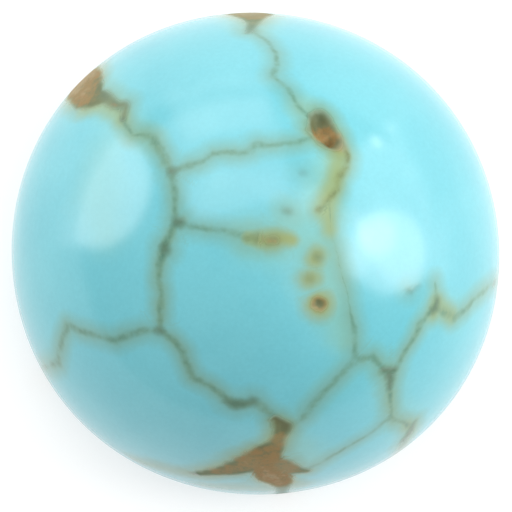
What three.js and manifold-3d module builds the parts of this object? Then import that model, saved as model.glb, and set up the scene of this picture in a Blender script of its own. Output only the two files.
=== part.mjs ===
// A polished round turquoise cabochon, high domed, with a flat lapped back.
// One natural stone: the brown matrix runs through it, so it is a single solid.
// Millimetres, +Z up. The origin is the middle of the flat back, which is what the stone rests on.

import * as THREE from "three";
import { mergeVertices } from "three/addons/utils/BufferGeometryUtils.js";
import Module from "manifold-3d";

// Driving dimensions of the cut.
const girdleRadius = 6.0;
const totalHeight = 6.9;
const backBevel = 0.35; // keeps the edge of the back from chipping
const wallHeight = 0.55; // the nearly upright wall that a setting grips
const wallLean = 0.03; // how far the wall leans in over its height

// Worked out from the driving dimensions.
const crownFoot = backBevel + wallHeight;
const crownRadius = girdleRadius - wallLean;
const crownHeight = totalHeight - crownFoot;

// Fineness of the facets.
const roundSteps = 80;
const crownSteps = 22;
const pocketRoundSteps = 16;
const pocketTallSteps = 10;

// The girdle was ground by hand, so it is slightly out of round. Each wave is a share of the radius.
const girdleWaves = [
  { lobes: 2, share: 0.008, turnedDeg: -22 },
  { lobes: 4, share: 0.0035, turnedDeg: 44 },
];

// Pockets where soft matrix has fallen out of the polished crown. east and north are the place of each
// one in plan, long and wide its half sizes, deep its depth, turnedDeg the way its long side runs.
const pockets = {
  headPocket: { east: 1.72, north: 3.02, long: 0.55, wide: 0.36, deep: 0.3, turnedDeg: -66 },
  rustPinhole: { east: 1.55, north: -1.22, long: 0.16, wide: 0.15, deep: 0.16, turnedDeg: 0 },
  footPocket: { east: 0.61, north: -4.28, long: 0.26, wide: 0.22, deep: 0.14, turnedDeg: 40 },
  forkPocket: { east: 3.24, north: -2.87, long: 0.18, wide: 0.12, deep: 0.09, turnedDeg: -80 },
};

const wasm = await Module();
wasm.setup();

// The half section: from the middle of the back, out over the bevel and the wall, and up to the apex.
function halfSection() {
  const outline = [
    new THREE.Vector2(0, 0),
    new THREE.Vector2(girdleRadius - backBevel, 0),
    new THREE.Vector2(girdleRadius, backBevel),
  ];
  for (let step = 0; step < crownSteps; step += 1) {
    const angle = (step / crownSteps) * (Math.PI / 2);
    outline.push(
      new THREE.Vector2(crownRadius * Math.cos(angle), crownFoot + crownHeight * Math.sin(angle)),
    );
  }
  outline.push(new THREE.Vector2(0, totalHeight));
  return outline;
}

// How far out the stone reaches in this direction, beside a true circle.
function outOfRound(bearing) {
  return girdleWaves.reduce((reach, { lobes, share, turnedDeg }) => {
    const turned = bearing - THREE.MathUtils.degToRad(turnedDeg);
    return reach + share * Math.cos(lobes * turned);
  }, 1);
}

// The turned blank, stood up along +Z, with the girdle's waves worked into its sides.
function blankGeometry() {
  const geometry = new THREE.LatheGeometry(halfSection(), roundSteps).rotateX(Math.PI / 2);
  const position = geometry.getAttribute("position");
  for (let i = 0; i < position.count; i += 1) {
    const reach = outOfRound(Math.atan2(position.getY(i), position.getX(i)));
    position.setXY(i, position.getX(i) * reach, position.getY(i) * reach);
  }
  return geometry;
}

// An egg-shaped cutter, set into the crown square to its surface.
function pocketCutter({ east, north, long, wide, deep, turnedDeg }) {
  const rise = crownHeight * Math.sqrt(1 - (east ** 2 + north ** 2) / crownRadius ** 2);
  const outward = new THREE.Vector3(
    east / crownRadius ** 2,
    north / crownRadius ** 2,
    rise / crownHeight ** 2,
  ).normalize();
  const turned = THREE.MathUtils.degToRad(turnedDeg);
  const across = new THREE.Vector3(Math.cos(turned), Math.sin(turned), 0)
    .cross(outward)
    .normalize()
    .negate();
  const along = new THREE.Vector3().crossVectors(across, outward);
  const place = new THREE.Matrix4().makeBasis(along, across, outward);
  return new THREE.SphereGeometry(1, pocketRoundSteps, pocketTallSteps)
    .scale(long, wide, deep)
    .applyMatrix4(place.setPosition(east, north, crownFoot + rise));
}

// A closed geometry as a solid that can be cut.
function solidFrom(geometry) {
  const bare = geometry.clone();
  bare.deleteAttribute("normal");
  bare.deleteAttribute("uv");
  const merged = mergeVertices(bare, 1e-4);
  return new wasm.Manifold(
    new wasm.Mesh({
      numProp: 3,
      vertProperties: new Float32Array(merged.getAttribute("position").array),
      triVerts: new Uint32Array(merged.index.array),
    }),
  );
}

// A cut solid as a geometry that can be drawn.
function geometryFrom(solid) {
  const { vertProperties, triVerts } = solid.getMesh();
  const geometry = new THREE.BufferGeometry();
  geometry.setAttribute("position", new THREE.BufferAttribute(new Float32Array(vertProperties), 3));
  geometry.setIndex(new THREE.BufferAttribute(new Uint32Array(triVerts), 1));
  geometry.computeVertexNormals();
  return geometry;
}

const stoneSolid = Object.values(pockets).reduce(
  (solid, pocket) => solid.subtract(solidFrom(pocketCutter(pocket))),
  solidFrom(blankGeometry()),
);

const turquoise = new THREE.MeshStandardMaterial({
  name: "turquoise",
  color: 0x80cdd8,
  roughness: 0.2,
  metalness: 0,
});

const stone = new THREE.Mesh(geometryFrom(stoneSolid), turquoise);
stone.name = "turquoise_stone";

const cabochon = new THREE.Group();
cabochon.add(stone);

export default cabochon;
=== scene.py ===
# Looks of a polished round turquoise cabochon with brown matrix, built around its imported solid.
# The crown is polished, the back and its bevel are lapped and dull. The matrix runs right round the stone.

import math

import bpy
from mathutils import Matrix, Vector


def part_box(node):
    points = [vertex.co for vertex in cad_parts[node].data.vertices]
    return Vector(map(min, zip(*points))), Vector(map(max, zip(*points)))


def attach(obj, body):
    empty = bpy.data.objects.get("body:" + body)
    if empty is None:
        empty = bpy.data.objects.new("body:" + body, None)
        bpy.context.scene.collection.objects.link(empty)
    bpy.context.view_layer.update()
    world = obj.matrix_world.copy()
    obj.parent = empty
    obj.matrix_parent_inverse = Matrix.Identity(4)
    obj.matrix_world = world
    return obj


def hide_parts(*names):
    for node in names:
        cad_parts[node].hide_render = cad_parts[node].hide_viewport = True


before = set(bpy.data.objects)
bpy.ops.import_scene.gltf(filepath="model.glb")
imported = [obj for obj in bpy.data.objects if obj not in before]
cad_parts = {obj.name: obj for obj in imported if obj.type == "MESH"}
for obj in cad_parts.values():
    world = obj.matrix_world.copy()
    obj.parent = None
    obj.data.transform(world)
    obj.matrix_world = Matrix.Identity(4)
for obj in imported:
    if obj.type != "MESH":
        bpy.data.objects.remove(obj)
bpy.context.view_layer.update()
stoneLow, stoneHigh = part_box("turquoise_stone")

heightInRadii = 1.15  # how high the stone stands, in girdle radii
radiusInMm = 6.0
girdleRadius = (stoneHigh.z - stoneLow.z) / heightInRadii
mm = girdleRadius / radiusInMm  # a millimetre of the 12 mm stone
nodesInRow = 12  # how the nodes are set out in the editor
nodeGap = (190, -230)
print("frame loaded, girdle radius", round(girdleRadius * 1000, 3), "mm")


def feed(tree, socket, value):
    if isinstance(value, bpy.types.NodeSocket):
        tree.links.new(value, socket)
    else:
        socket.default_value = value


def addNode(tree, kind, inputs=None, **settings):
    node = tree.nodes.new(kind)
    row, column = divmod(len(tree.nodes), nodesInRow)
    node.location = (nodeGap[0] * column, nodeGap[1] * row)
    for name, value in settings.items():
        setattr(node, name, value)
    for key, value in (inputs or {}).items():
        feed(tree, node.inputs[key], value)
    return node


def maths(tree, operation, first, second=0.0, clamp=False):
    node = addNode(tree, "ShaderNodeMath", {0: first, 1: second}, operation=operation, use_clamp=clamp)
    return node.outputs[0]


def times(tree, first, second, clamp=False):
    return maths(tree, "MULTIPLY", first, second, clamp)


def vectorMaths(tree, operation, first, second):
    node = addNode(tree, "ShaderNodeVectorMath", {0: first, 1: second}, operation=operation)
    return node.outputs["Value" if operation == "LENGTH" else "Vector"]


def ramp(tree, value, start, end, startValue=0.0, endValue=1.0, curve="SMOOTHSTEP"):
    inputs = {"Value": value, "From Min": start, "From Max": end, "To Min": startValue, "To Max": endValue}
    return addNode(tree, "ShaderNodeMapRange", inputs, interpolation_type=curve).outputs[0]


def noiseTexture(tree, place, size, detail=2.0, roughness=0.5):
    inputs = {"Vector": place, "Scale": 1 / size, "Detail": detail, "Roughness": roughness}
    return addNode(tree, "ShaderNodeTexNoise", inputs).outputs


def scaled(tree, vector, share):
    return addNode(tree, "ShaderNodeVectorMath", {0: vector, "Scale": share}, operation="SCALE").outputs[0]


def pushed(tree, noise, reach):  # a noise's colour as a push of up to reach each way
    centred = vectorMaths(tree, "SUBTRACT", noise.outputs["Color"], (0.5, 0.5, 0.5))
    return scaled(tree, centred, times(tree, reach, 2.0))


def addSocket(tree, side, name, start):  # start is the number it starts from, or else its kind in words
    kind = start if isinstance(start, str) else {int: "Int", float: "Float"}[type(start)]
    socket = tree.interface.new_socket(name, in_out=side, socket_type="NodeSocket" + kind)
    if kind != start:
        socket.default_value = start


def newTree(name, kind, inputs, outputs):
    tree = bpy.data.node_groups.new(name, kind)
    for socketName, start in inputs.items():
        addSocket(tree, "INPUT", socketName, start)
    for socketName, start in outputs.items():
        addSocket(tree, "OUTPUT", socketName, start)
    return tree, addNode(tree, "NodeGroupInput").outputs, addNode(tree, "NodeGroupOutput").inputs


stoneCut = {
    "backBevel": 0.35 * mm,
    "wallHeight": 0.55 * mm,
    "wallLean": 0.03 * mm,
    "wornEdge": 0.07 * mm,  # how far each edge of the bevel is worn round
    "girdleWaves": [(2, 0.008, -22), (4, 0.0035, 44)],  # lobes, share of the radius, bearing of a lobe
    "crownSteps": 248,  # quads across the crown, twice those across the back
    "wallSteps": 5,
    "bevelSteps": 3,
    "edgeSteps": 4,
    "backGap": 1.6,  # how far inside its edge the back's own grid stops, in worn edges
}
crownFoot = stoneCut["backBevel"] + stoneCut["wallHeight"]
crownRadius = girdleRadius - stoneCut["wallLean"]
crownHeight = stoneHigh.z - stoneLow.z - crownFoot
backRadius = girdleRadius - stoneCut["backBevel"]


def outOfRound(bearing):
    reach = 1
    for lobes, share, turned in stoneCut["girdleWaves"]:
        reach += share * math.cos(lobes * (bearing - math.radians(turned)))
    return reach


def stonePoint(radius, height, bearing):
    reach = radius * outOfRound(bearing)
    return (reach * math.cos(bearing), reach * math.sin(bearing), stoneLow.z + height)


# A square's point, -1 to 1 both ways, as a share of a disc's radius and a bearing.
def discPlace(across, up):
    if across == 0 and up == 0:
        return 0.0, 0.0
    if abs(across) >= abs(up):
        share, bearing = across, math.pi / 4 * up / across
    else:
        share, bearing = up, math.pi / 2 - math.pi / 4 * across / up
    return (share, bearing) if share > 0 else (-share, bearing + math.pi)


def crownPoint(share, bearing):  # even quads all over the dome
    fromApex = 2 * math.asin(share / math.sqrt(2))
    height = crownFoot + crownHeight * math.cos(fromApex)
    return stonePoint(crownRadius * math.sin(fromApex), height, bearing)


def backPoint(share, bearing):
    gridRadius = backRadius - stoneCut["backGap"] * stoneCut["wornEdge"]
    return stonePoint(gridRadius * share, 0, bearing)


def discGrid(steps, pointAt, facesUp):  # the points and quads of one disc, and its rim counter-clockwise
    places = [2 * step / steps - 1 for step in range(steps + 1)]
    points = [pointAt(*discPlace(across, up)) for up in places for across in places]
    wide = steps + 1
    quads = []
    for row in range(steps):
        for column in range(steps):
            corner = row * wide + column
            quad = (corner, corner + 1, corner + wide + 1, corner + wide)
            quads.append(quad if facesUp else quad[::-1])
    rim = [row * wide + steps for row in range(steps)]
    rim += [steps * wide + column for column in range(steps, 0, -1)]
    rim += [row * wide for row in range(steps, 0, -1)]
    rim += list(range(steps))
    return points, quads, rim


def wornCorner(before, corner, after, cutBack, steps):  # a corner of the section, worn round
    start = corner + (before - corner).normalized() * cutBack
    end = corner + (after - corner).normalized() * cutBack
    shares = [step / steps for step in range(steps + 1)]
    return [start * (1 - t) ** 2 + corner * 2 * t * (1 - t) + end * t ** 2 for t in shares]


def sideSection():  # radius and height down the wall and round the bevel, below the crown's rim
    crownRim = Vector((crownRadius, crownFoot))
    girdle = Vector((girdleRadius, stoneCut["backBevel"]))
    backEdge = Vector((backRadius, 0))
    middle = Vector((0, 0))
    worn, edgeSteps = stoneCut["wornEdge"], stoneCut["edgeSteps"]
    girdleEdge = wornCorner(crownRim, girdle, backEdge, worn, edgeSteps)
    lowerEdge = wornCorner(girdle, backEdge, middle, worn, edgeSteps)
    wallSteps, bevelSteps = stoneCut["wallSteps"], stoneCut["bevelSteps"]
    wall = [crownRim.lerp(girdleEdge[0], step / wallSteps) for step in range(1, wallSteps)]
    bevel = [girdleEdge[-1].lerp(lowerEdge[0], step / bevelSteps) for step in range(1, bevelSteps)]
    return wall + girdleEdge + bevel + lowerEdge, len(wall) + edgeSteps


def buildStone():
    steps = stoneCut["crownSteps"]
    points, faces, upperRing = discGrid(steps, crownPoint, True)
    lapped = [False] * len(faces)
    around = 4 * steps
    bearings = [math.radians(-45 + 360 * step / around) for step in range(around)]
    section, polishedRows = sideSection()
    for row, (radius, height) in enumerate(section):
        ring = list(range(len(points), len(points) + around))
        points += [stonePoint(radius, height, bearing) for bearing in bearings]
        for step in range(around):
            after = (step + 1) % around
            faces.append((upperRing[step], ring[step], ring[after], upperRing[after]))
        lapped += [row > polishedRows] * around
        upperRing = ring
    backPoints, backFaces, backRim = discGrid(steps // 2, backPoint, False)
    backStart = len(points)
    points += backPoints
    faces += [tuple(backStart + corner for corner in face) for face in backFaces]
    for step, inner in enumerate(backRim):  # the back's rim has half as many points as the ring round it
        first, second, third = (upperRing[(2 * step + more) % around] for more in range(3))
        nextInner = backRim[(step + 1) % len(backRim)]
        faces.append((backStart + inner, second, first))
        faces.append((backStart + nextInner, third, second, backStart + inner))
    lapped += [True] * (len(faces) - len(lapped))
    mesh = bpy.data.meshes.new("turquoiseStone")
    mesh.from_pydata(points, [], faces)
    mesh.attributes.new("lapped", "BOOLEAN", "FACE").data.foreach_set("value", lapped)
    mesh.shade_smooth()
    stone = bpy.data.objects.new("turquoiseStone", mesh)
    bpy.context.scene.collection.objects.link(stone)
    return stone


stone = buildStone()
print("stone built,", len(stone.data.polygons), "faces")


# East and north are shares of the girdle radius, seen from above. The third number of a point is the
# mark's half width, in the network's own unit, and a fourth its tint where that differs from the route's.
# Heights come from the cut. A route with an "overEdge" goes on down the wall, between the two bearings
# it gives, and then along its "backPoints".


def route(strength, tint, points=(), overEdge=None, backPoints=(), depth=0.0):
    return {
        "strength": strength,
        "tint": tint,
        "points": list(points),
        "overEdge": overEdge,
        "backPoints": list(backPoints),
        "depth": depth,
    }


veinMarks = {
    "unit": 0.042 * mm,
    "routes": {
        "topToHead": route(0.45, 0.1, [
            (-0.018, 0.932, 1.4), (0.002, 0.895, 1.1), (0.051, 0.862, 0.9), (0.08, 0.813, 0.9),
            (0.087, 0.771, 1.1), (0.068, 0.717, 1.2), (0.133, 0.668, 1), (0.166, 0.606, 0.8),
            (0.218, 0.554, 0.9),
        ]),
        "headDown": route(0.6, 0.6, [
            (0.342, 0.451, 1), (0.357, 0.435, 1.1), (0.378, 0.394, 1.1), (0.369, 0.349, 1),
            (0.336, 0.308, 1.5), (0.328, 0.259, 1.1), (0.299, 0.218, 1.3), (0.255, 0.177, 1.4),
        ]),
        "headToFork": route(0.46, 0.1, [
            (0.299, 0.198, 0.1), (0.304, 0.083, 0.1), (0.33, 0.002, 0.12), (0.35, -0.096, 0.12),
            (0.372, -0.162, 0.2), (0.384, -0.243, 0.4), (0.4, -0.317, 1.2), (0.402, -0.382, 0.7),
            (0.402, -0.431, 1.6),
        ]),
        "forkToThorn": route(0.52, 0.1, [
            (0.402, -0.431, 1.6), (0.437, -0.427, 0.9), (0.472, -0.419, 1.4), (0.506, -0.457, 0.9),
            (0.541, -0.485, 1.6),
        ]),
        "thornToBranch": route(0.56, 0.15, [
            (0.574, -0.456, 1.4), (0.615, -0.382, 1), (0.648, -0.333, 1.2), (0.665, -0.292, 1.5),
            (0.698, -0.251, 1.1), (0.73, -0.211, 1.7),
        ]),
        "branchUp": route(0.48, 0.2, [(0.73, -0.211, 1.4), (0.733, -0.169, 1), (0.73, -0.12, 0.5)]),
        "branchToEast": route(0.52, 0.15, [
            (0.73, -0.211, 1.6), (0.772, -0.24, 1.6), (0.809, -0.26, 1.6), (0.85, -0.232, 1),
            (0.896, -0.182, 1), (0.959, -0.13, 1.2), (0.987, -0.112, 1.1),
        ], overEdge=(-6, -9), backPoints=[
            (0.8, -0.07, 1.2), (0.62, -0.12, 1.4), (0.45, -0.1, 1.8),
        ]),
        "thornDown": route(0.68, 0.2, [
            (0.542, -0.527, 1.4), (0.547, -0.6, 0.9), (0.55, -0.662, 0.9), (0.563, -0.677, 1),
            (0.609, -0.69, 0.9), (0.635, -0.718, 1.5), (0.621, -0.754, 2.2), (0.598, -0.784, 1.8),
        ], overEdge=(-53, -56), backPoints=[
            (0.42, -0.66, 1), (0.28, -0.56, 1.2), (0.1, -0.45, 1.7),
        ]),
        "thornToFoot": route(0.38, 0.05, [
            (0.55, -0.669, 1), (0.526, -0.682, 1.2), (0.461, -0.736, 1), (0.391, -0.776, 0.9),
            (0.322, -0.817, 1), (0.256, -0.858, 1.2), (0.204, -0.878, 1.4),
        ]),
        "forkToNode": route(0.46, 0.05, [
            (0.402, -0.431, 1.4), (0.378, -0.455, 1.5), (0.342, -0.496, 0.9), (0.321, -0.517, 1.7),
            (0.288, -0.548, 1), (0.26, -0.581, 1.6), (0.226, -0.619, 1.6), (0.194, -0.668, 1.2),
            (0.137, -0.701, 1.4),
        ]),
        "nodeToKnee": route(0.62, 0.1, [
            (0.058, -0.647, 1.8), (0.03, -0.623, 1.5), (0.014, -0.606, 1.9), (-0.027, -0.606, 1.9),
            (-0.087, -0.61, 2.3), (-0.129, -0.578, 1.3), (-0.182, -0.537, 1.1), (-0.251, -0.504, 1.2),
            (-0.272, -0.463, 1.3), (-0.296, -0.394, 1.2), (-0.337, -0.345, 1.1), (-0.386, -0.312, 1.7),
        ]),
        "kneeToWest": route(0.5, 0.1, [
            (-0.39, -0.312, 1.5), (-0.438, -0.312, 1.2), (-0.508, -0.325, 1.4), (-0.57, -0.353, 1.3),
            (-0.644, -0.333, 1.1), (-0.714, -0.313, 1.2), (-0.763, -0.292, 1.5), (-0.784, -0.342, 1.3),
            (-0.797, -0.395, 1.5), (-0.802, -0.444, 1.6), (-0.84, -0.458, 1.1), (-0.874, -0.469, 1),
        ], overEdge=(208, 212), backPoints=[
            (-0.76, -0.42, 1), (-0.62, -0.36, 1.3), (-0.45, -0.3, 1.6),
        ]),
        "kneeToShoulder": route(0.68, 0.15, [
            (-0.39, -0.312, 1.4), (-0.386, -0.243, 1.1), (-0.382, -0.162, 1.1), (-0.39, -0.096, 1),
            (-0.386, -0.039, 1.4), (-0.374, 0.014, 1.9), (-0.345, 0.067, 1.3), (-0.32, 0.12, 1.9),
        ]),
        "shoulderToBlotch": route(0.46, 0.1, [
            (-0.32, 0.123, 1.4), (-0.251, 0.108, 1), (-0.169, 0.096, 1), (-0.087, 0.083, 1.2),
            (-0.031, 0.067, 1.3),
        ]),
        "shoulderUp": route(0.62, 0.15, [
            (-0.32, 0.125, 1.7), (-0.324, 0.166, 1.1), (-0.324, 0.231, 1.1), (-0.332, 0.288, 1.2),
            (-0.337, 0.335, 1.7),
        ]),
        "shoulderToHead": route(0.54, 0.1, [
            (-0.337, 0.335, 1.6), (-0.276, 0.353, 1.3), (-0.222, 0.369, 1), (-0.17, 0.402, 1),
            (-0.112, 0.41, 0.9), (-0.059, 0.405, 1.1), (-0.018, 0.414, 1.2), (0.002, 0.443, 1.1),
            (0.051, 0.438, 1), (0.116, 0.443, 0.9), (0.166, 0.447, 0.9), (0.223, 0.468, 1.1),
        ]),
        "shoulderToNorthwest": route(0.7, 0.15, [
            (-0.337, 0.335, 1.6), (-0.365, 0.382, 1.3), (-0.397, 0.43, 1.7), (-0.419, 0.467, 1.7),
            (-0.442, 0.477, 1), (-0.467, 0.482, 0.7), (-0.496, 0.477, 0.5), (-0.522, 0.512, 0.8),
            (-0.541, 0.545, 1.4), (-0.527, 0.587, 1.9), (-0.557, 0.6, 1.8), (-0.59, 0.619, 1.8),
            (-0.623, 0.652, 1.6),
        ]),
        "backNorth": route(0.65, 0.2, overEdge=(91, 88), backPoints=[
            (0.03, 0.8, 1.4), (0, 0.62, 1.8), (-0.08, 0.55, 1.2), (-0.2, 0.44, 1), (-0.3, 0.38, 1.7),
        ]),
        "backNorthwest": route(0.65, 0.15, overEdge=(138, 137), backPoints=[
            (-0.6, 0.55, 1.6), (-0.48, 0.47, 1.1), (-0.3, 0.38, 1.6), (-0.27, 0.25, 1), (-0.2, 0.1, 1.1),
            (-0.12, -0.05, 1.8),
        ]),
        "backEast": route(0.6, 0.1, backPoints=[
            (0, 0.62, 1.6), (0.1, 0.52, 1), (0.18, 0.4, 1.2), (0.28, 0.3, 1.6), (0.36, 0.18, 1),
            (0.4, 0.05, 1.1), (0.45, -0.1, 1.8), (0.35, -0.25, 1), (0.24, -0.36, 1.1), (0.1, -0.45, 1.7),
        ]),
        "backMiddle": route(0.4, 0.1, backPoints=[
            (0.28, 0.3, 1.4), (0.15, 0.16, 0.8), (-0.01, 0.08, 0.9), (-0.16, 0.04, 1.1),
        ]),
        "backSouth": route(0.65, 0.1, overEdge=(-84, -82), backPoints=[
            (0.12, -0.78, 1.6), (0.09, -0.62, 1.2), (0.1, -0.45, 1.8), (0.02, -0.33, 1.1),
            (-0.05, -0.2, 1), (-0.12, -0.05, 1.7), (-0.22, -0.15, 1), (-0.35, -0.2, 1.1),
            (-0.45, -0.3, 1.6),
        ]),
        "backWest": route(0.5, 0.1, backPoints=[
            (-0.3, 0.38, 1.5), (-0.42, 0.33, 1), (-0.5, 0.22, 1.1), (-0.62, 0.12, 1.3),
            (-0.78, 0.06, 0.8), (-0.9, 0.04, 0.5),
        ]),
    },
}

blotMarks = {  # solid matrix, green where the tint is below -0.5 and brown above -0.2
    "unit": 0.01 * girdleRadius,
    "routes": {
        "topPatch": route(0.75, 0, [
            (-0.008, 0.952, 3.2, 0.4), (-0.012, 0.964, 5.2, 0.6), (-0.018, 0.975, 7.5, 0.8),
            (-0.024, 0.984, 9.5, 1),
        ], overEdge=(92, 90), backPoints=[
            (0, 0.88, 2.4, 0.8),
        ]),
        "topStem": route(0.6, -0.1, [
            (-0.008, 0.947, 3), (-0.014, 0.932, 2.4), (-0.024, 0.915, 2), (-0.03, 0.901, 1.2),
        ]),
        "northwestPatch": route(0.93, 0, [
            (-0.624, 0.63, 3.4, 0.2), (-0.652, 0.636, 5.5, 0.2), (-0.68, 0.648, 7.5, 0.2),
            (-0.694, 0.672, 8.5, 0.6), (-0.702, 0.694, 9, 1), (-0.71, 0.71, 9, 1.2),
        ], overEdge=(135, 136), backPoints=[
            (-0.64, 0.6, 3.6, 0.8), (-0.59, 0.56, 2, 0.6),
        ]),
        "northwestTail": route(0.65, 0, [
            (-0.627, 0.642, 3), (-0.598, 0.624, 2.6), (-0.565, 0.603, 2.2), (-0.526, 0.605, 1.9),
            (-0.531, 0.572, 1.5), (-0.537, 0.549, 1),
        ]),
        # The pocket's upper end, tint -0.3, is painted shade on the wall turned from the light. Its other
        # colours are the matrix's own.
        "headPocket": route(1, 0, [
            (0.262, 0.541, 4.8, -0.3), (0.266, 0.519, 5.8, 0.1), (0.275, 0.499, 6.1, 0.7),
            (0.291, 0.479, 5.7, 0.4), (0.307, 0.461, 4.6, 0.3),
        ], depth=0.22 * mm),
        "thornTriangle": route(0.9, -0.45, [
            (0.516, -0.471, 0.9), (0.539, -0.477, 2.4), (0.564, -0.471, 0.9),
        ], depth=0.02 * mm),
        "thornSpike": route(0.9, -0.45, [
            (0.541, -0.482, 2.6), (0.546, -0.512, 1.9), (0.544, -0.542, 1),
        ], depth=0.02 * mm),
        "southeastStroke": route(0.75, -0.5, [
            (0.648, -0.688, 1), (0.63, -0.728, 2.2), (0.606, -0.764, 2),
        ]),
        "branchTriangle": route(0.85, -0.45, [
            (0.72, -0.228, 1.8), (0.731, -0.214, 2.8), (0.736, -0.19, 1.2),
        ]),
        "footNode": route(1, -0.15, [
            (0.078, -0.672, 1.6), (0.094, -0.688, 2.8), (0.109, -0.702, 3.8), (0.103, -0.72, 3.6),
        ], depth=0.04 * mm),
        "footNeck": route(0.85, 0.6, [(0.099, -0.735, 2.8), (0.091, -0.757, 2.6), (0.082, -0.774, 3.4)]),
        "footWest": route(0.9, 0, [
            (0, -0.85, 8.5, 0.4), (-0.048, -0.865, 7.6, 0.4), (-0.098, -0.88, 5.4, 0.4),
            (-0.148, -0.889, 3.6, 0.3), (-0.198, -0.895, 2.6, -0.1), (-0.245, -0.899, 2, -0.4),
        ]),
        "footHeart": route(1, 0, [
            (0.073, -0.785, 4.4, 0.3), (0.056, -0.803, 6, 0.3), (0.042, -0.823, 8.2, 0.4),
            (0.04, -0.848, 10, 0.6), (0.052, -0.872, 10, 0.7), (0.078, -0.9, 8.4, 0.7),
            (0.1, -0.926, 6, 0.8), (0.109, -0.943, 4, 0.8),
        ]),
        "footEast": route(0.85, 0.4, [
            (0.1, -0.866, 6.4), (0.14, -0.88, 4.6), (0.175, -0.886, 3), (0.21, -0.887, 1.4),
        ]),
        "footUnder": route(0.5, 0.3, [
            (0.112, -0.955, 3), (0.112, -0.976, 2.6),
        ], overEdge=(-84, -83), backPoints=[
            (0.112, -0.89, 4.4), (0.115, -0.8, 2.5),
        ]),
        "kneeThickening": route(0.62, -0.5, [
            (-0.111, -0.601, 1.8), (-0.079, -0.61, 2.9), (-0.045, -0.606, 1.8), (-0.012, -0.6, 2),
        ]),
        "shoulderDot": route(0.85, -0.5, [(-0.318, 0.127, 2), (-0.304, 0.127, 2)]),
        "flankDot": route(0.8, -0.5, [(-0.368, 0.024, 1.9), (-0.365, 0.014, 1.9)]),
        "kneeDot": route(0.7, -0.4, [(-0.393, -0.311, 1.6), (-0.385, -0.313, 1.6)]),
        "junctionDot": route(0.7, -0.4, [(-0.343, 0.333, 1.6), (-0.335, 0.335, 1.6)]),
        "highDot": route(0.45, -0.4, [(0.126, 0.175, 1.4), (0.133, 0.171, 1.4)]),
        "faintDot": route(0.3, -0.5, [(0.188, 0.328, 1), (0.196, 0.328, 1)]),
        "upperOlive": route(0.5, -0.4, [(0.248, -0.014, 1.6), (0.254, -0.016, 1.6)]),
        "middleOlive": route(0.35, -0.4, [(0.215, -0.1, 1.3), (0.221, -0.101, 1.3)]),
        "rustPinhole": route(1, 2, [(0.255, -0.201, 2.6), (0.261, -0.203, 2.6)], depth=0.07 * mm),
        "blotchHead": route(0.6, -0.4, [(-0.03, 0.063, 2), (0, 0.061, 2.6)]),
        "blotchHeart": route(0.6, 0.2, [(0.054, 0.052, 1.8), (0.077, 0.055, 2)]),
        "eastSpeckOne": route(0.5, -0.5, [(0.623, -0.147, 1.1), (0.631, -0.147, 1.1)]),
        "eastSpeckTwo": route(0.25, -0.5, [(0.651, -0.131, 0.9), (0.659, -0.131, 0.9)]),
        "backPatch": route(1, 0.5, backPoints=[(-0.3, 0.382, 3), (-0.27, 0.33, 2)]),
        "backKnot": route(1, 0.6, backPoints=[(0.1, -0.45, 2.6), (0.09, -0.5, 3.4), (0.095, -0.56, 1.5)]),
    },
}

stainMarks = {  # yellow and olive staining, close round the open places
    "unit": 0.01 * girdleRadius,
    "routes": {
        "blotch": route(1, 0, [
            (-0.03, 0.063, 2.6, 0), (0.01, 0.059, 4, 0.5), (0.059, 0.052, 5.8, 0.9),
            (0.109, 0.061, 4.6, 0.8), (0.149, 0.055, 3.4, 0.6),
        ]),
        "upperOliveRing": route(0.95, 0.7, [(0.238, -0.026, 4.6), (0.248, -0.012, 5.4)]),
        "middleOliveRing": route(0.95, 0.7, [(0.212, -0.102, 5.6), (0.224, -0.098, 5.6)]),
        "rustRing": route(0.9, 0.6, [(0.25, -0.194, 3.9), (0.259, -0.206, 3.9)]),
        "headBand": route(0.75, 0.55, [
            (0.339, 0.392, 5.2), (0.329, 0.342, 5), (0.315, 0.288, 5), (0.293, 0.233, 5.2),
            (0.287, 0.168, 5), (0.299, 0.099, 4),
        ]),
        "headFringe": route(1, 0, [
            (0.325, 0.446, 4.6, 1.6), (0.335, 0.426, 5, 1.6), (0.344, 0.4, 4, 1.1),
        ]),
        "topStain": route(0.6, 0, [(-0.07, 0.982, 7, 0.9), (-0.01, 0.945, 6, 0.8), (0.03, 0.98, 5, 0.9)]),
        "southeastRust": route(0.35, 0.6, [(0.623, -0.698, 5), (0.647, -0.728, 7), (0.639, -0.754, 7)]),
        "northwestStain": route(0.55, 0.5, [
            (-0.687, 0.598, 7), (-0.637, 0.607, 6), (-0.577, 0.587, 5), (-0.542, 0.547, 4.5),
        ]),
        "branchStain": route(0.65, 0.6, [(0.726, -0.239, 5), (0.735, -0.199, 5.5), (0.796, -0.254, 5)]),
        "footStain": route(0.5, 0.6, [
            (-0.199, -0.892, 5), (-0.06, -0.858, 7), (0.06, -0.785, 6), (0.104, -0.7, 6),
        ]),
        "backStain": route(0.7, 0.6, backPoints=[(0.11, -0.84, 9), (0.09, -0.6, 5), (0.1, -0.45, 7)]),
    },
}

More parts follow.
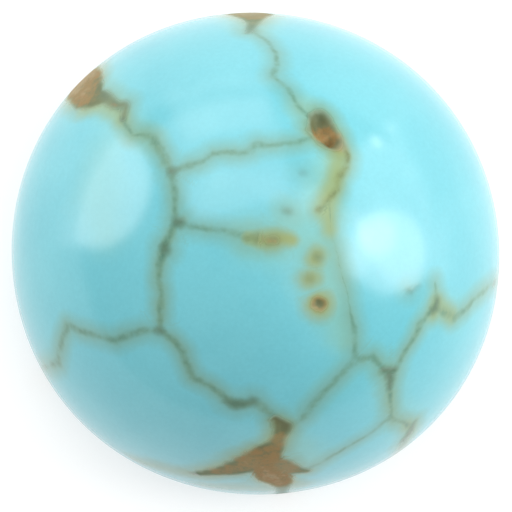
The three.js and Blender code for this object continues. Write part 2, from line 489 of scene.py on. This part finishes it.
washMarks = {  # pale green washes, broad and faint, and two grey-green smears of painted shade along the lower rim
    "unit": 0.01 * girdleRadius,
    "routes": {
        "middleField": route(0.7, -0.35, [
            (-0.02, 0.059, 11), (0.079, 0.054, 14), (0.168, 0.089, 17), (0.243, 0.02, 15),
            (0.268, -0.099, 14), (0.297, -0.218, 11), (0.357, -0.357, 8),
        ]),
        "headField": route(0.55, -0.1, [
            (0.199, 0.586, 8), (0.268, 0.516, 10), (0.317, 0.417, 9), (0.297, 0.297, 9),
            (0.268, 0.178, 12),
        ]),
        "forkWash": route(0.3, -0.5, [
            (0.467, -0.422, 8), (0.402, -0.431, 10), (0.328, -0.511, 10), (0.238, -0.611, 10),
            (0.139, -0.695, 10),
        ]),
        "thornWash": route(0.3, -0.2, [
            (0.496, -0.447, 8), (0.546, -0.497, 10), (0.552, -0.617, 9), (0.608, -0.698, 10),
        ]),
        "branchWash": route(0.3, -0.2, [
            (0.656, -0.308, 6), (0.73, -0.214, 9), (0.816, -0.249, 9), (0.927, -0.15, 7),
        ]),
        # Painted shade: these two smears lay the halo's grey-green along the lower rim, as the shade where
        # the stone meets the table.
        "westPaintedShade": route(1.3, -1.4, [
            (-0.179, -0.905, 7), (-0.299, -0.895, 9), (-0.4, -0.87, 9), (-0.49, -0.845, 7),
        ]),
        "footPaintedShade": route(1.2, -1.4, [
            (-0.2, -0.95, 9), (-0.05, -0.955, 12), (0.05, -0.96, 10), (0.18, -0.945, 8),
        ]),
        "westField": route(0.4, -0.5, [(-0.62, 0.42, 12), (-0.64, 0.25, 17), (-0.6, 0.08, 11)]),
        "northwestWash": route(0.45, -0.2, [
            (-0.699, 0.679, 15), (-0.597, 0.617, 10), (-0.517, 0.517, 9), (-0.417, 0.457, 7),
        ]),
        "topWash": route(0.5, -0.2, [(-0.14, 0.984, 10), (-0.01, 0.917, 10), (0.08, 0.978, 10)]),
        "westWash": route(0.45, -0.6, [(-0.766, -0.298, 6), (-0.797, -0.398, 8), (-0.848, -0.459, 10)]),
        "footWash": route(0.5, -0.3, [
            (-0.229, -0.892, 8), (-0.06, -0.846, 12), (0.07, -0.765, 9), (0.109, -0.695, 8),
            (0.219, -0.846, 12),
        ]),
        "backWash": route(0.5, 0, backPoints=[(0.12, -0.85, 14), (0.09, -0.6, 10), (0.1, -0.47, 12)]),
    },
}


def onCrown(east, north):
    bearing = math.atan2(north, east)
    share = min(math.hypot(east, north) * girdleRadius / (crownRadius * outOfRound(bearing)), 1.0)
    return stonePoint(crownRadius * share, crownFoot + crownHeight * math.sqrt(1 - share ** 2), bearing)


def onBack(east, north):
    bearing = math.atan2(north, east)
    return stonePoint(math.hypot(east, north) * girdleRadius / outOfRound(bearing), 0, bearing)


wallStops = 4  # a route's points from the crown's rim to the edge of the back


def downTheWall(upper, lower):
    halfway = 0.5 * (crownFoot + stoneCut["backBevel"])
    radii = [crownRadius, girdleRadius, girdleRadius, backRadius]
    heights = [crownFoot, halfway, stoneCut["backBevel"], 0]
    turned = [upper + (lower - upper) * stop / (wallStops - 1) for stop in range(wallStops)]
    return [stonePoint(*place) for place in zip(radii, heights, map(math.radians, turned))]


def wallMarks(above, below):  # marks whose size runs evenly from the crown's last to the back's first
    sizes = [above[2] + (below[2] - above[2]) * stop / (wallStops - 1) for stop in range(wallStops)]
    return [(*above[:2], size, *above[3:]) for size in sizes]


def layRoutes(name, marks):  # one wire for each route, with its marks' sizes on its points
    points, edges = [], []
    values = {"halfWidth": [], "strength": [], "tint": [], "depth": []}
    for wire in marks["routes"].values():
        start = len(points)
        crown, back = wire["points"], wire["backPoints"]
        points += [onCrown(east, north) for east, north, *sizes in crown]
        wall = []
        if wire["overEdge"]:
            points += downTheWall(*wire["overEdge"])
            wall = wallMarks((crown or back)[-1 if crown else 0], back[0])
        points += [onBack(east, north) for east, north, *sizes in back]
        for east, north, size, *tint in crown + wall + back:
            values["halfWidth"].append(size * marks["unit"])
            values["tint"].append(tint[0] if tint else wire["tint"])
            values["strength"].append(wire["strength"])
            values["depth"].append(wire["depth"])
        edges += [(i, i + 1) for i in range(start, len(points) - 1)]
    mesh = bpy.data.meshes.new(name)
    mesh.from_pydata(points, edges, [])
    for valueName, numbers in values.items():
        mesh.attributes.new(valueName, "FLOAT", "POINT").data.foreach_set("value", numbers)
    return bpy.data.objects.new(name, mesh)


networks = {
    "vein": layRoutes("veinRoutes", veinMarks),
    "blot": layRoutes("blotRoutes", blotMarks),
    "stain": layRoutes("stainRoutes", stainMarks),
    "wash": layRoutes("washRoutes", washMarks),
}
print("matrix routes laid")


def layingTree():  # a route's wire: cut fine, made to wander, and laid on the stone
    tree, given, made = newTree("laid matrix", "GeometryNodeTree", {
        "Routes": "Geometry",
        "Stone": "Geometry",
        "Spacing": 0.05 * mm,
        "Wander": 0.05 * mm,
        "Wander Size": 0.5 * mm,
        "Seed": 0.0,
    }, {"Wire": "Geometry"})
    curve = addNode(tree, "GeometryNodeMeshToCurve", {"Mesh": given["Routes"]}).outputs[0]
    cut = {"Curve": curve, "Length": given["Spacing"]}
    fine = addNode(tree, "GeometryNodeResampleCurve", cut, mode="LENGTH").outputs[0]
    wire = addNode(tree, "GeometryNodeCurveToMesh", {"Curve": fine}).outputs[0]
    place = addNode(tree, "GeometryNodeInputPosition").outputs[0]
    noiseInputs = {"Vector": place, "W": given["Seed"], "Detail": 3.0, "Roughness": 0.6}
    noiseInputs["Scale"] = maths(tree, "DIVIDE", 1.0, given["Wander Size"])
    noise = addNode(tree, "ShaderNodeTexNoise", noiseInputs, noise_dimensions="4D")
    push = {"Geometry": wire, "Offset": pushed(tree, noise, given["Wander"])}
    moved = addNode(tree, "GeometryNodeSetPosition", push).outputs[0]
    nearest = addNode(tree, "GeometryNodeProximity", {0: given["Stone"]}, target_element="FACES")
    landing = {"Geometry": moved, "Position": nearest.outputs["Position"]}
    feed(tree, made["Wire"], addNode(tree, "GeometryNodeSetPosition", landing).outputs[0])
    return tree


def nearestTree():  # what the nearest point of a wire says, for each point of the stone, evened a little
    tree, given, made = newTree("nearest matrix", "GeometryNodeTree", {"Wire": "Geometry", "Evening": 4}, {
        "Offset": "Vector",
        "Distance": "Float",
        "Half Width": "Float",
        "Strength": "Float",
        "Tint": "Float",
        "Depth": "Float",
    })
    place = addNode(tree, "GeometryNodeInputPosition").outputs[0]
    nearest = addNode(tree, "GeometryNodeProximity", {0: given["Wire"]}, target_element="EDGES")
    feed(tree, made["Offset"], vectorMaths(tree, "SUBTRACT", nearest.outputs["Position"], place))
    feed(tree, made["Distance"], nearest.outputs["Distance"])
    index = addNode(tree, "GeometryNodeSampleNearest", {"Geometry": given["Wire"]}).outputs[0]
    stored = {"Half Width": "halfWidth", "Strength": "strength", "Tint": "tint", "Depth": "depth"}
    for output, attribute in stored.items():
        value = addNode(tree, "GeometryNodeInputNamedAttribute", {"Name": attribute}).outputs["Attribute"]
        sampleInputs = {"Geometry": given["Wire"], "Value": value, "Index": index}
        sample = addNode(tree, "GeometryNodeSampleIndex", sampleInputs).outputs[0]
        evenedInputs = {"Value": sample, "Iterations": given["Evening"]}
        feed(tree, made[output], addNode(tree, "GeometryNodeBlurAttribute", evenedInputs).outputs[0])
    return tree


def storeValue(tree, geometry, name, value, kind="FLOAT"):
    inputs = {"Geometry": geometry, "Name": name, "Value": value}
    return addNode(tree, "GeometryNodeStoreNamedAttribute", inputs, data_type=kind).outputs["Geometry"]


pitNoise = {"size": 0.22 * mm, "detail": 2.0, "span": (0.3, 0.7, -1.0, 1.0)}


def matrixTree():
    tree, given, made = newTree("matrix in stone", "GeometryNodeTree", {
        "Geometry": "Geometry",
        "Veins": "Object",
        "Blots": "Object",
        "Stains": "Object",
        "Washes": "Object",
        "Spacing": 0.05 * mm,
        "Evening": 4,
        "Vein Wander": 0.05 * mm,
        "Wander Size": 0.5 * mm,
        "Pit Roughness": 0.35,
        "Seed": 3.0,
        "Polished": "Material",
        "Lapped": "Material",
    }, {"Geometry": "Geometry"})
    laying, nearest = layingTree(), nearestTree()
    stored = given["Geometry"]
    found = {}
    for name, wires in (("vein", "Veins"), ("blot", "Blots"), ("stain", "Stains"), ("wash", "Washes")):
        routes = addNode(tree, "GeometryNodeObjectInfo", {"Object": given[wires]}).outputs["Geometry"]
        laid = addNode(tree, "GeometryNodeGroup", {
            "Routes": routes,
            "Stone": given["Geometry"],
            "Spacing": given["Spacing"],
            "Wander": given["Vein Wander"],
            "Wander Size": given["Wander Size"],
            "Seed": given["Seed"],
        }, node_tree=laying)
        nearestInputs = {"Wire": laid.outputs["Wire"], "Evening": given["Evening"]}
        found[name] = addNode(tree, "GeometryNodeGroup", nearestInputs, node_tree=nearest).outputs
        for output in ("Distance", "Half Width", "Strength", "Tint"):
            stored = storeValue(tree, stored, name + output.replace(" ", ""), found[name][output])
    for name in ("vein", "blot"):
        stored = storeValue(tree, stored, name + "Offset", found[name]["Offset"], "FLOAT_VECTOR")

    # A bowl in each mark that has a depth, roughened by a little noise. The veins are polished flush.
    normal = addNode(tree, "GeometryNodeInputNormal").outputs[0]
    place = addNode(tree, "GeometryNodeInputPosition").outputs[0]
    rough = noiseTexture(tree, place, pitNoise["size"], pitNoise["detail"])["Fac"]
    roughShare = ramp(tree, rough, *pitNoise["span"], "LINEAR")
    swing = maths(tree, "ADD", times(tree, roughShare, given["Pit Roughness"]), 1.0)
    blot = found["blot"]
    across = maths(tree, "DIVIDE", blot["Distance"], blot["Half Width"])
    bowl = maths(tree, "SUBTRACT", 1.0, times(tree, across, across), clamp=True)
    bowl = times(tree, bowl, bowl)  # its lip is rounded over
    bowl = times(tree, times(tree, bowl, blot["Depth"]), swing)
    sunk = {"Geometry": stored, "Offset": scaled(tree, normal, times(tree, bowl, -1.0))}
    stored = addNode(tree, "GeometryNodeSetPosition", sunk).outputs[0]

    whole = addNode(tree, "GeometryNodeRealizeInstances", {"Geometry": stored}).outputs[0]
    marked = {"Name": "lapped"}
    lapped = addNode(tree, "GeometryNodeInputNamedAttribute", marked, data_type="BOOLEAN").outputs[0]
    polishing = {"Geometry": whole, "Material": given["Polished"]}
    whole = addNode(tree, "GeometryNodeSetMaterial", polishing).outputs[0]
    lapping = {"Geometry": whole, "Selection": lapped, "Material": given["Lapped"]}
    feed(tree, made["Geometry"], addNode(tree, "GeometryNodeSetMaterial", lapping).outputs[0])
    return tree


def paint(red, green, blue):  # a colour as a screen shows it, as Blender's linear light
    shares = [channel / 255 for channel in (red, green, blue)]
    linear = [share / 12.92 if share <= 0.04045 else ((share + 0.055) / 1.055) ** 2.4 for share in shares]
    return (*linear, 1.0)


stoneColours = {
    "body": paint(92, 175, 186),
    "bodyPale": paint(100, 181, 191),
    "halo": paint(104, 141, 111),
    "haloYellow": paint(128, 137, 68),
    "wash": paint(155, 174, 105),
    "washGreen": paint(103, 159, 138),
    "core": paint(64, 116, 98),
    "coreOlive": paint(94, 104, 58),
    "matrix": paint(128, 101, 46),
    "matrixTan": paint(148, 127, 86),
    "matrixDark": paint(84, 91, 51),
    "matrixGreen": paint(64, 99, 74),
    "rust": paint(140, 86, 36),
    "dust": paint(178, 192, 193),
}


def readValue(tree, name, output="Fac"):
    node = addNode(tree, "ShaderNodeAttribute", attribute_name=name, attribute_type="GEOMETRY")
    return node.outputs[output]


def mixColour(tree, share, first, second, blend="MIX"):
    inputs = {"Factor": share, 6: first, 7: second}
    return addNode(tree, "ShaderNodeMix", inputs, data_type="RGBA", blend_type=blend).outputs[2]


masks = ["Core", "Halo", "Halo Tint", "Matrix", "Matrix Edge", "Matrix Tint"]
masks += ["Stain", "Stain Tint", "Wash", "Wash Tint"]
maskLook = {  # sizes are those of the noise; a span is where a fade starts and ends, then its two values
    "offsetSlack": 0.09 * mm,  # the distance rules only where it exceeds the offset by more than this
    "patchSize": 0.45 * mm,
    "grainSize": 0.2 * mm,
    "lumpSize": 0.8 * mm,
    "patchSpan": (0.34, 0.66, 0.45, 1.5),
    "grainSpan": (0.4, 0.62, 0.7, 1.35),
    "haloSpan": (0.3, 0.7, 0.85, 1.15),
    "coreReach": 2.9,  # in the vein's half widths
    "coreStrength": 0.74,
    "haloStrength": 1.35,
    "haloCurve": 0.75,  # below 1, a faint vein keeps more of its halo than of its core
    "blotFray": 2.5,
    "blotLumps": 0.7,  # how far the noise's whole swing moves an outline, in the blot's half widths
    "blotEdge": (-0.2 * mm, 0.02 * mm),
    "brownTints": (-0.4, -0.3),
    "blotLead": (-0.2, 0.2),
    "stainWander": 0.6,
    "stainReach": 1.45,  # in the stain's half widths
}


def matrixMaskTree():  # where vein, halo, matrix and stain lie, frayed by noise finer than the mesh
    tree, given, made = newTree("matrix masks", "ShaderNodeTree", {
        "Place": "Vector",
        "Fray": 0.03 * mm,
        "Fray Size": 0.16 * mm,
        "Halo Reach": 0.47 * mm,
        "Edge Softness": 0.13 * mm,
    }, dict.fromkeys([*masks, "Dullness"], "Float"))
    look, place = maskLook, given["Place"]
    scale = maths(tree, "DIVIDE", 1.0, given["Fray Size"])
    frayNoise = addNode(tree, "ShaderNodeTexNoise", {"Vector": place, "Scale": scale, "Detail": 3.0})
    fray = pushed(tree, frayNoise, given["Fray"])
    distances = {}
    # The offset is exact between two points of the mesh, and the distance where two routes meet.
    for name in ("vein", "blot"):
        frayedOffset = vectorMaths(tree, "ADD", readValue(tree, name + "Offset", "Vector"), fray)
        near = vectorMaths(tree, "LENGTH", frayedOffset, (0, 0, 0))
        far = maths(tree, "SUBTRACT", readValue(tree, name + "Distance"), look["offsetSlack"])
        distances[name] = maths(tree, "MAXIMUM", near, far)
    distance = distances["vein"]
    patchy = noiseTexture(tree, place, look["patchSize"], 3.0, 0.6)["Fac"]
    patchyShare = ramp(tree, patchy, *look["patchSpan"], "LINEAR")

    # A vein has a thin core that comes and goes, in a broad halo that fades steadily into the stone.
    veinStrength = readValue(tree, "veinStrength")
    acrossCore = maths(tree, "DIVIDE", distance, readValue(tree, "veinHalfWidth"))
    core = ramp(tree, acrossCore, 0.0, look["coreReach"], 1.0, 0.0)
    grains = ramp(tree, noiseTexture(tree, place, look["grainSize"])["Fac"], *look["grainSpan"], "LINEAR")
    coreStrength = times(tree, times(tree, veinStrength, look["coreStrength"]), grains)
    feed(tree, made["Core"], times(tree, times(tree, core, coreStrength), patchyShare, clamp=True))
    haloShare = ramp(tree, patchy, *look["haloSpan"], "LINEAR")
    halo = ramp(tree, distance, 0.0, given["Halo Reach"], 1.0, 0.0, "LINEAR")
    haloStrength = times(tree, maths(tree, "POWER", veinStrength, look["haloCurve"]), look["haloStrength"])
    halo = times(tree, times(tree, halo, haloStrength), haloShare, clamp=True)

    blotReach = maths(tree, "SUBTRACT", distances["blot"], readValue(tree, "blotHalfWidth"))
    blotFray = times(tree, maths(tree, "SUBTRACT", frayNoise.outputs["Fac"], 0.5), given["Fray"])
    blotReach = maths(tree, "ADD", blotReach, times(tree, blotFray, look["blotFray"]))
    lumps = maths(tree, "SUBTRACT", noiseTexture(tree, place, look["lumpSize"])["Fac"], 0.5)
    lumps = times(tree, lumps, readValue(tree, "blotHalfWidth"))
    blotReach = maths(tree, "ADD", blotReach, times(tree, lumps, look["blotLumps"]))
    blotStrength = readValue(tree, "blotStrength")
    softStart = times(tree, given["Edge Softness"], -1.0)
    matrix = ramp(tree, blotReach, softStart, given["Edge Softness"], 1.0, 0.0)
    matrix = times(tree, matrix, blotStrength)
    feed(tree, made["Matrix"], matrix)
    feed(tree, made["Matrix Edge"], ramp(tree, blotReach, *look["blotEdge"]))
    feed(tree, made["Matrix Tint"], readValue(tree, "blotTint"))
    brown = ramp(tree, readValue(tree, "blotTint"), *look["brownTints"])
    feed(tree, made["Dullness"], times(tree, matrix, brown))
    blotHalo = ramp(tree, blotReach, 0.0, given["Halo Reach"], 1.0, 0.0, "LINEAR")
    blotHalo = times(tree, blotHalo, blotStrength)
    feed(tree, made["Halo"], maths(tree, "MAXIMUM", halo, blotHalo))
    blotLeads = ramp(tree, maths(tree, "SUBTRACT", blotHalo, halo), *look["blotLead"])
    tints = {0: blotLeads, 2: readValue(tree, "veinTint"), 3: readValue(tree, "blotTint")}
    feed(tree, made["Halo Tint"], addNode(tree, "ShaderNodeMix", tints).outputs[0])

    stainWander = times(tree, maths(tree, "SUBTRACT", patchy, 0.5), look["stainWander"])
    for name, output in (("stain", "Stain"), ("wash", "Wash")):
        halfWidth = readValue(tree, name + "HalfWidth")
        across = maths(tree, "DIVIDE", readValue(tree, name + "Distance"), halfWidth)
        share = ramp(tree, maths(tree, "ADD", across, stainWander), 0.0, look["stainReach"], 1.0, 0.0)
        feed(tree, made[output], times(tree, share, readValue(tree, name + "Strength")))
        feed(tree, made[output + " Tint"], readValue(tree, name + "Tint"))
    return tree


colourLook = {  # shares are how far each mask covers what is under it
    "cloudSize": 3.2 * mm,
    "speckleSize": 0.11 * mm,
    "lumpSize": 0.5 * mm,
    "gritSize": 0.13 * mm,
    "speckleSpan": (0.3, 0.7, 0.965, 1.03),
    "lumpSpan": (0.3, 0.7, -0.5, 0.5),
    "darkGritSpan": (0.52, 0.66, 0.0, 0.45),
    "rustGritSpan": (0.46, 0.36, 0.0, 0.3),
    "rustRimSpan": (0.5, 1.0, 0.0, 0.6),
    "washShare": 0.55,
    "haloShare": 0.85,
    "stainShare": 0.85,
    "edgeDarkening": 0.3,
}
tintFades = {  # the tints, or the noise for clouds, between which one colour gives way to the next
    "clouds": (0.35, 0.65),
    "washGreenToWash": (-0.6, 0.0),
    "paintedShadeToWash": (-1.3, -0.8),
    "stainToYellow": (0.0, 0.8),
    "stainToTan": (1.0, 1.6),
    "coreToOlive": (0.2, 0.7),
    "darkToBrown": (-0.1, 0.45),
    "brownToTan": (0.6, 1.15),
    "toRusty": (0.2, 0.6),
    "toRust": (1.3, 1.8),
    "greenToBrown": (-0.5, -0.2),
}


def stoneColourTree():
    inputs = {"Place": "Vector", **dict.fromkeys([*masks, "Dust"], "Float")}
    tree, given, made = newTree("stone colour", "ShaderNodeTree", inputs, {"Colour": "Color"})
    look, colours, place = colourLook, stoneColours, given["Place"]

    def fade(value, name):
        return ramp(tree, value, *tintFades[name])

    def mix(share, first, second, blend="MIX"):  # a colour is given by its name or by a socket
        first, second = (colours[one] if isinstance(one, str) else one for one in (first, second))
        return mixColour(tree, share, first, second, blend)

    clouds = noiseTexture(tree, place, look["cloudSize"], 4.0, 0.55)["Fac"]
    colour = mix(fade(clouds, "clouds"), "body", "bodyPale")
    speckle = noiseTexture(tree, place, look["speckleSize"], 3.0, 0.7)["Fac"]
    colour = mix(1.0, colour, ramp(tree, speckle, *look["speckleSpan"], "LINEAR"), "MULTIPLY")

    washColour = mix(fade(given["Wash Tint"], "washGreenToWash"), "washGreen", "wash")
    # Wash tints below -0.8 are used only by the two smears along the lower rim, and take the halo colour
    # as painted shade.
    washColour = mix(fade(given["Wash Tint"], "paintedShadeToWash"), "halo", washColour)
    colour = mix(times(tree, given["Wash"], look["washShare"]), colour, washColour)
    haloColour = mix(times(tree, given["Halo Tint"], given["Halo"]), "halo", "haloYellow")
    colour = mix(times(tree, given["Halo"], look["haloShare"]), colour, haloColour)
    stainColour = mix(fade(given["Stain Tint"], "stainToYellow"), "wash", "haloYellow")
    stainColour = mix(fade(given["Stain Tint"], "stainToTan"), stainColour, "matrixTan")
    colour = mix(times(tree, given["Stain"], look["stainShare"]), colour, stainColour)
    coreColour = mix(fade(given["Halo Tint"], "coreToOlive"), "core", "coreOlive")
    colour = mix(given["Core"], colour, coreColour)

    # The matrix runs from dark olive through brown to tan, lump by lump, and is darkest along its edges.
    lumps = noiseTexture(tree, place, look["lumpSize"], 3.0, 0.6)["Fac"]
    tone = maths(tree, "ADD", given["Matrix Tint"], ramp(tree, lumps, *look["lumpSpan"], "LINEAR"))
    tone = maths(tree, "SUBTRACT", tone, times(tree, given["Matrix Edge"], look["edgeDarkening"]))
    matrixColour = mix(fade(tone, "darkToBrown"), "matrixDark", "matrix")
    matrixColour = mix(fade(tone, "brownToTan"), matrixColour, "matrixTan")
    grit = noiseTexture(tree, place, look["gritSize"], 3.0, 0.7)["Fac"]
    matrixColour = mix(ramp(tree, grit, *look["darkGritSpan"]), matrixColour, "matrixDark")
    rustiness = times(tree, ramp(tree, grit, *look["rustGritSpan"]), fade(tone, "toRusty"))
    matrixColour = mix(rustiness, matrixColour, "rust")
    rustRim = mix(ramp(tree, given["Matrix Edge"], *look["rustRimSpan"]), "matrixDark", "rust")
    matrixColour = mix(fade(given["Matrix Tint"], "toRust"), matrixColour, rustRim)
    matrixColour = mix(fade(given["Matrix Tint"], "greenToBrown"), "matrixGreen", matrixColour)
    colour = mix(given["Matrix"], colour, matrixColour)
    feed(tree, made["Colour"], mix(given["Dust"], colour, "dust"))
    return tree


finishGroups = {"masks": matrixMaskTree(), "colour": stoneColourTree()}

polish = {
    "roughness": 0.17,
    "matrixRoughness": 0.72,
    "ior": 1.67,
    "dust": 0.0,
    "grainSize": 0.06 * mm,
    "grainHeight": 0.0006 * mm,
    "gritSize": 0.09 * mm,
    "matrixHeight": 0.012 * mm,
}
lap = {
    "roughness": 0.62,
    "matrixRoughness": 0.8,
    "ior": 1.67,
    "dust": 0.16,
    "grainSize": 0.045 * mm,
    "grainHeight": 0.006 * mm,
    "gritSize": 0.09 * mm,
    "matrixHeight": 0.015 * mm,
}


def stoneMaterial(name, finish):
    material = bpy.data.materials.new(name)
    material.use_nodes = True
    tree = material.node_tree
    shader = tree.nodes["Principled BSDF"]
    place = addNode(tree, "ShaderNodeTexCoord").outputs["Object"]
    found = addNode(tree, "ShaderNodeGroup", {"Place": place}, node_tree=finishGroups["masks"]).outputs
    colourInputs = {"Place": place, "Dust": finish["dust"], **{mask: found[mask] for mask in masks}}
    colour = addNode(tree, "ShaderNodeGroup", colourInputs, node_tree=finishGroups["colour"])
    feed(tree, shader.inputs["Base Color"], colour.outputs["Colour"])

    roughness = ramp(tree, found["Dullness"], 0.0, 1.0, finish["roughness"], finish["matrixRoughness"])
    feed(tree, shader.inputs["Roughness"], roughness)
    grain = noiseTexture(tree, place, finish["grainSize"], 3.0, 0.6)["Fac"]
    grit = noiseTexture(tree, place, finish["gritSize"], 4.0, 0.7)["Fac"]
    height = times(tree, grain, finish["grainHeight"])
    gritHeight = times(tree, times(tree, grit, found["Matrix"]), finish["matrixHeight"])
    bumpInputs = {"Strength": 1.0, "Distance": 1.0, "Height": maths(tree, "ADD", height, gritHeight)}
    feed(tree, shader.inputs["Normal"], addNode(tree, "ShaderNodeBump", bumpInputs).outputs[0])
    shader.inputs["IOR"].default_value = finish["ior"]
    return material


workedStone = {
    "Veins": networks["vein"],
    "Blots": networks["blot"],
    "Stains": networks["stain"],
    "Washes": networks["wash"],
    "Evening": 5,
    "Spacing": 0.05 * mm,
    "Vein Wander": 0.04 * mm,
    "Wander Size": 0.4 * mm,
    "Pit Roughness": 0.35,
    "Seed": 3.0,
    "Polished": stoneMaterial("polishedTurquoise", polish),
    "Lapped": stoneMaterial("lappedTurquoise", lap),
}


def workMatrixIn(stone):
    tree = matrixTree()
    modifier = stone.modifiers.new("matrix", "NODES")
    modifier.node_group = tree
    for socket in tree.interface.items_tree:
        if socket.item_type == "SOCKET" and socket.in_out == "INPUT" and socket.name in workedStone:
            modifier[socket.identifier] = workedStone[socket.name]
    graph = bpy.context.evaluated_depsgraph_get()
    worked = bpy.data.meshes.new_from_object(stone.evaluated_get(graph), depsgraph=graph)
    stone.modifiers.remove(modifier)
    stone.data = worked


workMatrixIn(stone)
print("matrix worked in,", len(stone.data.polygons), "faces")

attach(stone, "root")
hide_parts("turquoise_stone")


stage = {
    "floorRadius": 250 * girdleRadius,
    "floorColour": (0.52, 0.52, 0.52, 1.0),
    "floorRoughness": 0.14,
    "floorShine": 0.12,
    "floorGlow": 0.52,
    "skyStrength": 0.72,
}

lamps = {  # bearing and elevation, width and height, all in degrees; brightness beside white; shape
    "westBox": (158, 9, 41, 50, 2.92, "ELLIPSE"),
    "eastBox": (17, 16, 57, 50, 1.7, "ELLIPSE"),
    "eastCore": (1, 25, 32, 42, 2.45, "ELLIPSE"),
    "eastHeart": (9, 31, 16, 20, 2.2, "ELLIPSE"),
    "eastInner": (6, 43, 30, 16, 1.6, "ELLIPSE"),
    "eastSpark": (43.5, 6.7, 4, 5, 6.0, "ELLIPSE"),
    "northEast": (60, 20, 40, 40, 0.2, "ELLIPSE"),
    "northBox": (106, 40, 48, 56, 0.95, "RECTANGLE"),
    "northLow": (102, 12, 34, 34, 1.0, "RECTANGLE"),
    "highStrip": (74, 58, 56, 10, 0.4, "RECTANGLE"),
    "highNorth": (90, 62, 60, 34, 0.6, "ELLIPSE"),
    "highEast": (0, 62, 60, 34, 0.54, "ELLIPSE"),
}
lampDistance = 20 * girdleRadius


def addFloor():
    mesh = bpy.data.meshes.new("floor")
    reach = stage["floorRadius"]
    signs = [(-1, -1), (1, -1), (1, 1), (-1, 1)]
    corners = [(reach * east, reach * north, stoneLow.z) for east, north in signs]
    mesh.from_pydata(corners, [], [(0, 1, 2, 3)])
    floor = bpy.data.objects.new("floor", mesh)
    bpy.context.scene.collection.objects.link(floor)
    material = bpy.data.materials.new("paleTable")
    material.use_nodes = True
    shader = material.node_tree.nodes["Principled BSDF"]
    shader.inputs["Base Color"].default_value = stage["floorColour"]
    shader.inputs["Roughness"].default_value = stage["floorRoughness"]
    shader.inputs["Specular IOR Level"].default_value = stage["floorShine"]
    shader.inputs["Emission Color"].default_value = (1, 1, 1, 1)
    shader.inputs["Emission Strength"].default_value = stage["floorGlow"]
    mesh.materials.append(material)


def addLamp(name, bearing, elevation, wide, tall, brightness, shape):
    light = bpy.data.lights.new(name, "AREA")
    light.shape = shape
    light.size = 2 * lampDistance * math.tan(math.radians(wide / 2))
    light.size_y = 2 * lampDistance * math.tan(math.radians(tall / 2))
    area = light.size * light.size_y * (math.pi / 4 if shape == "ELLIPSE" else 1)
    light.energy = brightness * math.pi * area
    lampObject = bpy.data.objects.new(name, light)
    away, up = math.radians(bearing), math.radians(elevation)
    flat = lampDistance * math.cos(up)
    lampObject.location = (flat * math.cos(away), flat * math.sin(away), lampDistance * math.sin(up))
    lampObject.rotation_euler = lampObject.location.to_track_quat("Z", "Y").to_euler()
    lampObject.visible_camera = False
    bpy.context.scene.collection.objects.link(lampObject)


def addSky():
    world = bpy.data.worlds.new("studio")
    world.use_nodes = True
    background = world.node_tree.nodes["Background"]
    background.inputs["Color"].default_value = (1, 1, 1, 1)
    background.inputs["Strength"].default_value = stage["skyStrength"]
    bpy.context.scene.world = world


view = {
    "distance": 60 * girdleRadius,
    "stoneShareOfFrame": 0.952,
    "nearestSeen": 0.5 * girdleRadius,
    "furthestSeen": 500 * girdleRadius,
    "aside": (0.002 * girdleRadius, -0.01 * girdleRadius),  # the stone sits a little above the middle
}


def addCamera():
    camera = bpy.data.cameras.new("camera")
    halfAngle = math.atan(girdleRadius / view["distance"] / view["stoneShareOfFrame"])
    camera.lens = camera.sensor_width / 2 / math.tan(halfAngle)
    camera.clip_start = view["nearestSeen"]
    camera.clip_end = view["furthestSeen"]
    cameraObject = bpy.data.objects.new("camera", camera)
    cameraObject.location = (*view["aside"], crownFoot + view["distance"])
    bpy.context.scene.collection.objects.link(cameraObject)
    bpy.context.scene.camera = cameraObject


addFloor()
for lampName, lamp in lamps.items():
    addLamp(lampName, *lamp)
addSky()
addCamera()
bpy.context.scene.view_settings.view_transform = "Standard"
print("stage set")
